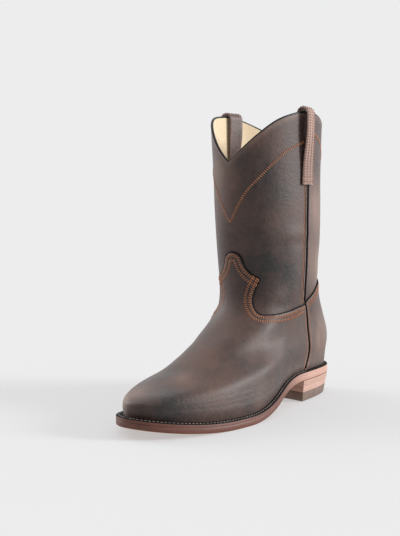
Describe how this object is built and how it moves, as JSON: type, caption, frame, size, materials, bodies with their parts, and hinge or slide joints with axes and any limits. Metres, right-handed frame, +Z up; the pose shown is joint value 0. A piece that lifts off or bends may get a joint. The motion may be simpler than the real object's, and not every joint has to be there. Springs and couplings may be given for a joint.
{
  "type": "roper boot",
  "caption": "Left roper boot in oiled brown leather: low stacked heel, round toe, scalloped collar with pull straps, leather welt and sole.",
  "frame": {"origin": "on the floor under the middle of the boot's bounding box", "axes": "+Z up, toe towards -Y, heel towards +Y, lateral (outer) side towards +X"},
  "size_m": [0.1123, 0.3, 0.2923],
  "materials": {
    "shaft_leather": "oiled pull-up leather, waxy sheen",
    "vamp_leather": "oiled pull-up leather, scuffed",
    "counter_leather": "oiled pull-up leather, scuffed",
    "piping": "black folded leather cord",
    "binding": "black rolled leather",
    "strap_leather": "oiled leather, stitched edges",
    "insole_leather": "natural lining leather",
    "welt_leather": "dark dyed and waxed",
    "sole_leather": "natural tan, red-brown dyed edge",
    "heel_leather": "stacked, burnished edge",
    "heel_rubber": "matt moulded rubber"
  },
  "bodies": {
    "root": {"upper": "shaft_leather", "vamp": "vamp_leather", "counter": "counter_leather", "piping_lateral": "piping", "piping_medial": "piping", "collar_binding": "binding", "pull_strap_lateral": "strap_leather", "pull_strap_medial": "strap_leather", "insole": "insole_leather", "welt": "welt_leather", "outsole": "sole_leather", "heel_stack": "heel_leather", "heel_cap": "heel_rubber"}
  },
  "joints": []
}
